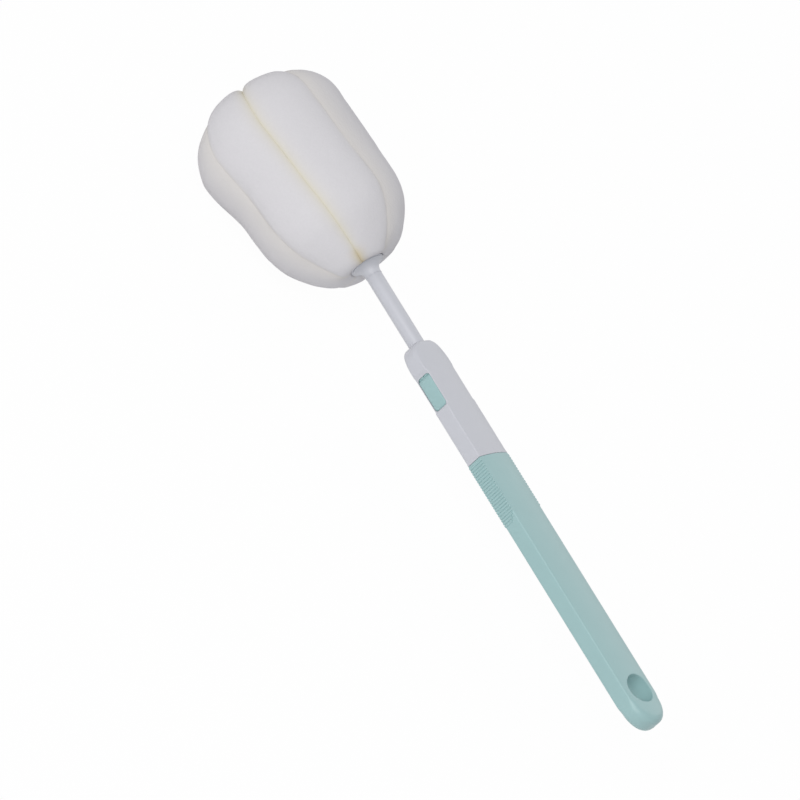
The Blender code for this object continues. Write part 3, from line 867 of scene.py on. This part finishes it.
cup = dict(foot=6.7 * mm, rim=14.0 * mm, rimHeight=1.0 * mm, flare=3.2, edge=0.3 * mm)


def makeStem(look):
    rodStart = housingHigh.x + look["seat"]
    neckStart = cupLow.x - look["seat"]
    discStart = cupHigh.x - look["discThickness"]
    rod, neck, spigot = look["diameter"] / 2, look["neck"] / 2, look["spigot"] / 2
    disc = look["disc"] / 2
    edge = look["edge"]
    profile = [(stemLow.x, spigot - edge), (stemLow.x + edge, spigot), (rodStart, spigot)]
    profile += roundedCorner((rodStart, 0), (rodStart, rod), (neckStart, rod), edge)
    profile += roundedCorner((rodStart, rod), (neckStart, rod), (neckStart, 0), edge)
    profile += [(neckStart, neck), (discStart, neck)]
    profile += roundedCorner((discStart, 0), (discStart, disc), (cupHigh.x, disc), edge)
    profile += [(cupHigh.x, disc)]
    piece = turned("stem", profile, white)
    arms = []
    clipTop = clipHigh.x + fitGap
    halfWidth, inset = look["tineWidth"] / 2, look["barbInset"]
    inner, outer = look["tineOffset"], look["tineOffset"] + look["tineDepth"]
    for side in (1, -1):
        low = (discStart + look["discThickness"] / 2, -halfWidth, side * inner)
        arms.append(boxPiece("tine", low, (stemHigh.x, halfWidth, side * outer)))
        low = (clipTop, inset - halfWidth, side * (inner + look["tineDepth"] / 2))
        high = (stemHigh.x - inset, halfWidth - inset, side * (outer + look["barb"]))
        arms.append(boxPiece("barb", low, high))
    turn = Matrix.Translation((0, 0, axisHeight)) @ Matrix.Rotation(coreTurn, 4, "X")
    for arm in arms:
        arm.data.transform(turn)
    combined(piece, arms, "UNION")
    return standFor(piece, "stem_rod")


def makeCup(look):
    start, top = cupLow.x, cupHigh.x
    foot, rim = look["foot"] / 2, look["rim"] / 2
    rimStart = top - look["rimHeight"]
    flareSteps = 26
    profile = []
    for i in range(flareSteps + 1):
        t = i / flareSteps
        profile.append((start + (rimStart - start) * t, foot + (rim - foot) * t ** look["flare"]))
    profile += roundedCorner((rimStart, rim), (top, rim), (top, rim - 1 * mm), look["edge"])
    bore = stem["neck"] / 2 + fitGap
    recess = stem["disc"] / 2 + fitGap
    seat = top - stem["discThickness"] - fitGap
    profile += [(top, recess), (seat, recess), (seat, bore), (start, bore)]
    piece = turned("cup", profile, white, closed=True)
    return standFor(piece, "base_cup")


makeStem(stem)
makeCup(cup)
print("stem and cup made")


# Foam head: three slabs pinched by the core, which spread into six lobes

foam = dict(
    # Half of the head's section in mm, as (along from its lower end, radius)
    profile=(
        (0.0, 7.08), (-0.9, 7.08), (-1.25, 7.5), (-1.6, 8.9), (-1.8, 10.7), (-1.4, 12.9),
        (-0.2, 15.3), (1.9, 18.1), (4.6, 20.8), (8.0, 23.6), (11.2, 25.9), (14.5, 27.6),
        (18.5, 29.0), (23.0, 29.8), (28.0, 30.1), (36.0, 30.3), (44.0, 30.8), (52.0, 31.7),
        (59.0, 32.1), (65.0, 31.6), (70.0, 30.2), (74.0, 28.0), (77.0, 25.0), (79.2, 20.8),
        (79.9, 16.5), (79.2, 12.6), (76.5, 9.6), (73.5, 8.2), (71.3, 7.85),
    ),
    rings=120,
    lean=((0, 1.6), (20, 1.9), (40, 2.8), (60, 4.8), (80, 4.3)),  # sideways, mm, at a height
    leanAngle=math.radians(-56),
    middleHalf=2.0 * mm,  # half the pinched middle slab
    seamGap=0.018 * mm,  # between slabs that press on each other
    cupHug=7.08 * mm,  # least radius round the cup, then round the end clip
    clipHug=7.85 * mm,
    restSoftness=1.6 * mm,  # how gently the lowest lobes flatten on what they lie on
    lobeSteps=48,
    sharp=80,  # degrees, past which an edge is drawn sharp
    core_yellow=(2.6 * mm, 3.0 * mm),  # how far up the main fold it shows, fading over the second
    endReach=12.0 * mm,  # how far from either end the creases open up
    pinched=(7.4 * mm, 3.0 * mm),  # held up to this radius, and free this much further out
    turning=(7.0 * mm, 9.0 * mm),  # the same for the creases' turns and the lean
    creaseDrop=1.1 * mm,  # how much lower the upper ends lie at the creases
    creaseRise=0.2 * mm,  # how much higher the lower ends lie there
    sagRadius=12.5 * mm,  # the lower ends sag most this far from the axis
    sagSpread=4.6 * mm,
    unevenness=0.45 * mm,
    unevenScale=60.0,
    fineness=0.10 * mm,
    fineScale=300.0,
)
# How full each lobe is at these shares of the head's length
fullnessPlaces = (0.0, 0.45, 0.70, 0.95)
lobeShares = (
    (0.98, 1.00, 1.035, 0.99),
    (1.00, 1.00, 1.00, 1.00),
    (1.00, 1.00, 1.00, 1.00),
    (0.99, 0.99, 0.970, 0.99),
    (0.98, 0.99, 0.98, 0.98),
    (1.01, 1.00, 0.99, 0.99),
)
# How far each lobe's lower end hangs round the cup, and how much lower its upper end is, in mm
lobeSags = (0.5, 1.3, 1.0, -0.7, -1.7, 0.3)
lobeTips = (1.9, -1.1, -0.9, 0.1, 0.3, 0.5)
# Creases, one lobe to the next: depth share, then how tight it is on either side
creases = (
    (0.034, 2.2, 4.5),
    (0.036, 4.0, 4.0),
    (0.028, 4.0, 2.4),
    (0.090, 5.0, 5.0),
    (0.100, 5.0, 5.0),
    (0.090, 5.0, 5.0),
)
# Degrees that the first creases are turned from their even places, at shares of the head's length
turnPlaces = (0.0, 0.22, 0.40, 0.54, 0.68, 0.83, 1.0)
creaseTurns = (
    (15.0, 15.8, 14.8, 14.8, 16.4, 16.0, 15.0),
    (6.5, 4.2, 1.8, 1.2, 1.3, 0.8, -0.3),
    (-0.5, -3.0, -7.8, -10.2, -10.8, -11.8, -12.0),
)
turnBlend = 0.08  # share of the length over which the turns are evened out
mainCrease = 1
lobeAngle = math.radians(60)
coreTints = (0.5, 0, 1)  # painted fold shade, painted crease shade and core yellow where the slabs are pinched
foamStart = cupHigh.x + fitGap
foamLength = 80.0 * mm
coreEnd = clipLow.x - fitGap


def smoothPath(points, count):
    # Evenly spaced places on a smooth curve through the points
    knots = [np.array(p, float) for p in points]
    knots = [2 * knots[0] - knots[1]] + knots + [2 * knots[-1] - knots[-2]]
    dense = []
    steps = 24
    for i in range(1, len(knots) - 2):
        before, here, there, after = knots[i - 1 : i + 3]
        for k in range(steps):
            t = k / steps
            bend = 2 * before - 5 * here + 4 * there - after
            twist = 3 * here - before - 3 * there + after
            dense.append(here + ((there - before) * t + bend * t * t + twist * t**3) / 2)
    dense = np.array(dense + [knots[-2]])
    run = np.concatenate([[0], np.cumsum(np.linalg.norm(np.diff(dense, axis=0), axis=1))])
    wanted = np.linspace(0, run[-1], count)
    return np.stack([np.interp(wanted, run, dense[:, i]) for i in (0, 1)], 1)


def foamStations():
    # Each ring's station along the brush and its radius before the lobes shape it
    path = smoothPath(foam["profile"], foam["rings"])
    return [(foamStart + along * mm, radius * mm) for along, radius in path]


def lobeFullness(lobe, x):
    along = (x - foamStart) / foamLength
    share = lobeShares[lobe][0]
    for i in range(1, len(fullnessPlaces)):
        before, here = fullnessPlaces[i - 1 : i + 1]
        change = lobeShares[lobe][i] - lobeShares[lobe][i - 1]
        share += change * eased((along - before) / (here - before))
    return share


def besideAxis(middle, angle, radius):
    # A place at this angle and radius, moved half a seam outward along the lobe's middle
    gap = foam["seamGap"]
    y = gap * math.cos(middle) + radius * math.cos(angle)
    return y, gap * math.sin(middle) + radius * math.sin(angle)


def foldLobe(lobe, station):
    # One lobe's skin on one ring: y, z, nearness to a crease and its tints
    x, radius = station
    middle = lobe * lobeAngle
    own = lobeFullness(lobe, x)
    hug = toward(foam["cupHug"], foam["clipHug"], (x - foamStart) / foamLength)
    # The yellow-brown core tint shows at the main fold's lower end and fades out going up
    low = eased((foamStart + foam["core_yellow"][0] - x) / foam["core_yellow"][1])
    points = []
    for i in range(foam["lobeSteps"] + 1):
        u = math.sin(math.pi / 2 * (2 * i / foam["lobeSteps"] - 1))
        index = lobe if u > 0 else (lobe - 1) % 6
        depth, before, after = creases[index]
        power = before if u > 0 else after
        near = abs(u)
        other = lobeFullness((lobe + (1 if u > 0 else -1)) % 6, x)
        reach = radius * (own + (other - own) * near**3 / 2)
        skin = max(reach * (1 - depth * near**power), min(radius, hug))
        # Each tint is a strength times a power of nearness, narrower for a higher power. The main crease
        # gets painted warm shade down in it, painted shade beside it and the yellow-brown core tint at its
        # lower end; the others get painted shade beside them
        if index == mainCrease:
            tints = (0.1 * near**30 + 0.62 * near**6, near**4 * 0.4, 0.9 * near**3 * low)
        else:
            # Painted shade beside the other creases, wide for a soft crease and narrow for a tight one
            tints = (0.0, (near**2 if power < 4 else near**12) * 0.8, 0.0)
        points.append((*besideAxis(middle, middle + u * lobeAngle / 2, skin), near, tints))
    # The feet, where each crease's wall turns in under the cup or the clip
    feet = [besideAxis(middle, middle + side * lobeAngle / 2, hug) for side in (-1, 1)]
    first, last = [(y, z, None, coreTints) for y, z in feet]
    return [first] + points + [last]


def coreCorner(lobe, side, height):
    middle = lobe * lobeAngle
    edge = middle + side * lobeAngle / 2
    along = (height - fitGap * math.sin(middle)) / math.sin(edge)
    return (fitGap * math.cos(middle) + along * math.cos(edge), height, None, coreTints)


def tinePocket():
    # The closed fold between two lobes of one slab, widened around its tine
    slit = fitGap * math.cos(lobeAngle)
    half = stem["tineWidth"] / 2 + fitGap
    low = stem["tineOffset"] - fitGap
    high = stem["tineOffset"] + stem["tineDepth"] + fitGap
    right = [(slit, high), (half, high), (half, low)]
    both = right + [(-y, z) for y, z in reversed(right)]
    # Inside the pocket: full painted fold shade and the core yellow
    return [(y, z, None, (1, 0, 1)) for y, z in both]


def foldedSlab(first, station):
    floor = foam["middleHalf"] + fitGap
    turn = -first * lobeAngle
    outline = []
    for lobe, pocket in ((first + 1, tinePocket()), (first + 2, [])):
        for y, z, near, tints in foldLobe(lobe % 6, station):
            outline.append((*turnedPoint(y, z, turn), near, tints))
        outline += pocket
    return outline + [coreCorner(2, 1, floor), coreCorner(1, -1, floor)]


def middleSlab(first, station):
    flat = foam["middleHalf"]
    outline = foldLobe(first, station) + [coreCorner(0, 1, flat), coreCorner(3, -1, flat)]
    outline += foldLobe(first + 3, station)
    return outline + [coreCorner(3, 1, -flat), coreCorner(0, -1, -flat)]


def turnedPoint(y, z, angle):
    c, s = math.cos(angle), math.sin(angle)
    return y * c - z * s, y * s + z * c


def leanAt(x):
    # The soft head bends toward its first lobe
    heights, shifts = zip(*foam["lean"])
    shift = np.interp((x - foamStart) / mm, heights, shifts) * mm
    return shift * math.cos(foam["leanAngle"]), shift * math.sin(foam["leanAngle"])


swellSizes = ("Swell", "Swell Scale", "Fine", "Fine Scale", "Seed")


def foamTree():
    # Slow swells and a fine unevenness on the skin, none where the slabs are pinched
    graph, take = startTree("foam_unevenness", dict.fromkeys(swellSizes, "Float"))
    place = {0: graph.node("GeometryNodeInputPosition"), 1: graph.vector(X=take["Seed"])}
    moved = graph.node("ShaderNodeVectorMath", {"operation": "ADD"}, place)
    slow = graph.noise(moved, take["Swell Scale"], 1.0, 0.4)
    quick = graph.noise(moved, take["Fine Scale"], 2.0, 0.5)
    free = graph.node("GeometryNodeInputNamedAttribute", {"data_type": "FLOAT"}, {"Name": "skin"})
    height = ((slow - 0.5) * take["Swell"] * 2 + (quick - 0.5) * take["Fine"] * 2) * free
    values = {"Vector": graph.node("GeometryNodeInputNormal"), "Scale": height}
    offset = graph.node("ShaderNodeVectorMath", {"operation": "SCALE"}, values)
    values = {"Geometry": take["Geometry"], "Offset": offset}
    return endTree(graph, graph.node("GeometryNodeSetPosition", {}, values), take["Finish"])


def turnsAt(x):
    # How far each crease is turned at one station, with the last one in front once more
    shares = (x - foamStart) / foamLength + np.linspace(-turnBlend, turnBlend, 9)
    turns = [np.interp(shares, turnPlaces, row).mean() for row in creaseTurns]
    turns += [0.0] * (6 - len(turns))
    return turns[-1:] + turns


def warpedPoint(y, z, out, turns):
    # Turns a point with the creases beside it, the more the further out it is
    places = [math.degrees(coreTurn) - 30 + 60 * i for i in range(7)]
    angle = (math.degrees(math.atan2(z, y)) - places[0]) % 360 + places[0]
    return turnedPoint(y, z, math.radians(np.interp(angle, places, turns)) * out)


def slabRing(outline, station, turn):
    # Places one ring of a slab in the room, with the numbers its vertices carry
    x, radius = station
    top = foamStart + foamLength
    bottomShare = eased(1 - (x - foamStart) / foam["endReach"])
    topShare = eased(1 - (top - x) / foam["endReach"])
    opening = foam["creaseRise"] * bottomShare - foam["creaseDrop"] * topShare
    sag = bottomShare * math.exp(-(((radius - foam["sagRadius"]) / foam["sagSpread"]) ** 2))
    turns = turnsAt(x)
    shiftY, shiftZ = leanAt(x)
    ring, row = [], []
    for y, z, near, tints in outline:
        place, skin = x, 0.0
        y, z = turnedPoint(y, z, turn)
        if near is None:
            place = min(max(x, foamStart), coreEnd)
        else:
            angle = math.degrees(math.atan2(z, y)) - math.degrees(coreTurn)
            lobe = round(angle / 60) % 6
            free = eased((radius - foam["pinched"][0]) / foam["pinched"][1])
            place += opening * near**8 * free
            other = (lobe + (1 if angle % 60 < 30 else -1)) % 6
            half = near**3 / 2
            place -= (lobeSags[lobe] * (1 - half) + lobeSags[other] * half) * mm * sag
            place -= lobeTips[lobe] * mm * topShare * (1 - near**3) * free
            skin = (1 - near**14) * free
        out = eased((math.hypot(y, z) - foam["turning"][0]) / foam["turning"][1])
        y, z = warpedPoint(y, z, out, turns)
        z += axisHeight + shiftZ * out
        if near is not None:
            z = (math.hypot(z, foam["restSoftness"]) + z) / 2
        ring.append(Vector((place, y + shiftY * out, z)))
        row.append((skin, *tints))
    return ring, row


def makeSlab(name, node, outlineAt, first, tree, seed):
    turn = coreTurn + first * lobeAngle
    made = [slabRing(outlineAt(first, station), station, turn) for station in foamStations()]
    shape = bmesh.new()
    # The skin weight, then the weights of the painted fold shade, painted crease shade and core yellow
    layers = [shape.verts.layers.float.new(n) for n in ("skin", "painted_fold_shade", "painted_crease_shade", "core_yellow")]
    loops = bridgeRings(shape, [ring for ring, row in made], True)
    for loop, (ring, row) in zip(loops, made):
        for vertex, numbers in zip(loop, row):
            for layer, number in zip(layers, numbers):
                vertex[layer] = number
    piece = meshPiece(name, shape, foamSkin, foam["sharp"])
    sizes = (foam["unevenness"], foam["unevenScale"], foam["fineness"], foam["fineScale"], seed)
    grown(piece, tree, {**dict(zip(swellSizes, sizes)), "Finish": foamSkin})
    for vertex in piece.data.vertices:
        vertex.co.z = max(vertex.co.z, 0.0)
    standFor(piece, node)
    return piece


def makeFoam():
    tree = foamTree()
    makeSlab("foam_front_lobes", "foam_front", foldedSlab, 0, tree, 1.0)
    makeSlab("foam_side_lobes", "foam_middle", middleSlab, 0, tree, 2.0)
    return makeSlab("foam_back_lobes", "foam_back", foldedSlab, 3, tree, 3.0)


foamPiece = makeFoam()
print("foam made:", len(foamPiece.data.polygons), "faces a slab")


# Floor, light and camera

studio = dict(
    floorSize=6.0,
    floorDrop=0.05 * mm,
    floorColour=(0.92, 0.92, 0.92, 1.0),
    floorWhite=0.97,  # how much of the seen floor is plain white
    worldLight=0.47,
    worldColour=(0.97, 0.98, 1.0, 1.0),
    keyPower=38.0,
    keySize=2.2,
    keyDirection=(-0.06, 0.79, 0.61),
    fillPower=11.0,
    fillSize=2.5,
    fillDirection=(0.3, -0.8, 0.7),
    lampDistance=2.6,
)
viewpoint = dict(
    towardCamera=(-0.3000, 0.7890, 0.5361),
    aim=(16.9 * mm, -0.5 * mm, -20.2 * mm),  # from the middle of the brush's axis
    distance=2.5,
    lens=294.3,
    sensor=36.0,
    clip=(0.1, 20.0),
    axisTilt=121.63,  # degrees from the picture's right to the brush's axis
)


def whiteWhereSeen(graph, surface, plain, rays, share, end):
    # Mixes in plain white for what these rays see, and ends the tree
    seen = [graph.node("ShaderNodeLightPath", {}, {}, ray) for ray in rays]
    mask = seen[0]
    for other in seen[1:]:
        mask = mask.largest(other)
    glow = graph.node(plain, {}, {"Color": (1, 1, 1, 1), "Strength": 1.0})
    mixed = graph.node("ShaderNodeMixShader", {}, {0: mask * share, 1: surface, 2: glow})
    graph.node(end, {}, {"Surface": mixed})


def emptyGraph(owner):
    owner.use_nodes = True
    owner.node_tree.nodes.clear()
    return Graph(owner.node_tree)


def makeFloor(look):
    shape = bmesh.new()
    half = look["floorSize"] / 2
    corners = ((-half, -half), (half, -half), (half, half), (-half, half))
    shape.faces.new([shape.verts.new((x, y, -look["floorDrop"])) for x, y in corners])
    material = bpy.data.materials.new("pale_floor")
    graph = emptyGraph(material)
    surface = graph.node("ShaderNodeBsdfDiffuse", {}, {"Color": look["floorColour"]})
    rays = ("Is Camera Ray", "Is Glossy Ray", "Is Transmission Ray")
    end = "ShaderNodeOutputMaterial"
    whiteWhereSeen(graph, surface, "ShaderNodeEmission", rays, look["floorWhite"], end)
    floor = meshPiece("floor", shape, material)


def makeWorld(look):
    world = bpy.data.worlds.new("studio")
    bpy.context.scene.world = world
    graph = emptyGraph(world)
    values = {"Color": look["worldColour"], "Strength": look["worldLight"]}
    light = graph.node("ShaderNodeBackground", {}, values)
    rays = ("Is Camera Ray", "Is Glossy Ray")
    whiteWhereSeen(graph, light, "ShaderNodeBackground", rays, 1.0, "ShaderNodeOutputWorld")


def makeLamp(name, look):
    lamp = bpy.data.lights.new(name, "AREA")
    lamp.shape = "DISK"
    lamp.size = look[name + "Size"]
    lamp.energy = look[name + "Power"]
    holder = linked(name, lamp)
    away = Vector(look[name + "Direction"]).normalized()
    holder.location = Vector((0, 0, axisHeight)) + away * look["lampDistance"]
    holder.rotation_mode = "QUATERNION"
    holder.rotation_quaternion = away.to_track_quat("Z", "Y")


def makeCamera(look):
    camera = bpy.data.cameras.new("camera")
    camera.lens = look["lens"]
    camera.sensor_width = look["sensor"]
    camera.clip_start, camera.clip_end = look["clip"]
    holder = linked("camera", camera)
    back = Vector(look["towardCamera"]).normalized()
    along = Vector((1, 0, 0)) - back * back.x  # the brush's axis as the picture shows it
    along.normalize()
    across = back.cross(along)
    tilt = math.radians(look["axisTilt"])
    right = along * math.cos(tilt) - across * math.sin(tilt)
    up = along * math.sin(tilt) + across * math.cos(tilt)
    aim = Vector(look["aim"]) + Vector((0, 0, axisHeight))
    place = Matrix((right, up, back)).transposed().to_4x4()
    place.translation = aim + back * look["distance"]
    holder.matrix_world = place
    bpy.context.scene.camera = holder


makeFloor(studio)
makeWorld(studio)
makeLamp("key", studio)
makeLamp("fill", studio)
makeCamera(viewpoint)
bpy.context.scene.view_settings.view_transform = "Standard"
print("studio made")
